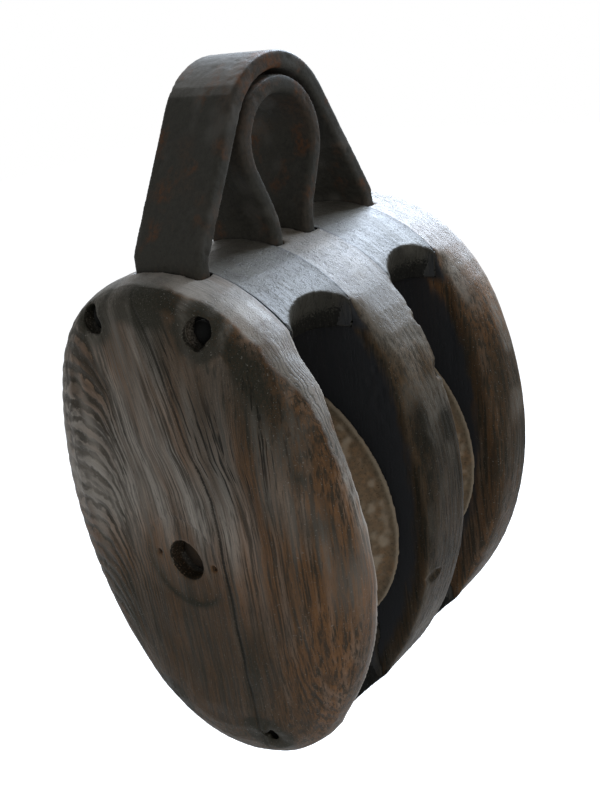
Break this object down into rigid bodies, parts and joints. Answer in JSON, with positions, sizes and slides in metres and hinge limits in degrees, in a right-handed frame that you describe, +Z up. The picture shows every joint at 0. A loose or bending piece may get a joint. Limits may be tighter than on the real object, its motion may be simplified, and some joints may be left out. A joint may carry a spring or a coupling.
{
  "type": "double rope block",
  "caption": "Wooden rope block of riveted layers with grooved iron sheaves on one pin and iron straps that form an eye above.",
  "frame": {"origin": "the crown seat inside the eye, where a hook or shackle bears", "axes": "+Z up, along the block's length; +Y along the sheave pin, away from the cheek with the domed face; +X across the cheeks"},
  "size_m": [0.181, 0.1756, 0.3338],
  "materials": {
    "cheek_wood": "weathered, worn smooth along the edges",
    "layer_wood": "weathered grey-brown",
    "filler_wood": "weathered, dark in the scoops",
    "strap_iron": "forged black iron with brown rust",
    "pin_iron": "rusty",
    "sheave_iron": "pitted and crusted with rust",
    "bush_bronze": "dull",
    "rivet_iron": "dark and rusty"
  },
  "bodies": {
    "block": {"cheek_front": "cheek_wood", "cheek_back": "cheek_wood", "partition": "layer_wood", "head_filler_front": "filler_wood", "head_filler_back": "filler_wood", "tail_filler_front": "filler_wood", "tail_filler_back": "filler_wood", "outer_strap": "strap_iron", "inner_strap": "strap_iron", "sheave_pin": "pin_iron", "head_rivet_left": "rivet_iron", "head_rivet_right": "rivet_iron", "tail_rivet_left": "rivet_iron", "tail_rivet_right": "rivet_iron", "clench_rings_front": "rivet_iron", "clench_rings_back": "rivet_iron"},
    "front_wheel": {"sheave_front": "sheave_iron", "bush_front": "bush_bronze"},
    "back_wheel": {"sheave_back": "sheave_iron", "bush_back": "bush_bronze"}
  },
  "joints": [
    {"name": "sheave_front_spin", "type": "hinge", "parent": "block", "child": "front_wheel", "pos_m": [0, 0, -0.195], "axis": [0, 1, 0], "continuous": true},
    {"name": "sheave_back_spin", "type": "hinge", "parent": "block", "child": "back_wheel", "pos_m": [0, 0, -0.195], "axis": [0, 1, 0], "continuous": true}
  ]
}
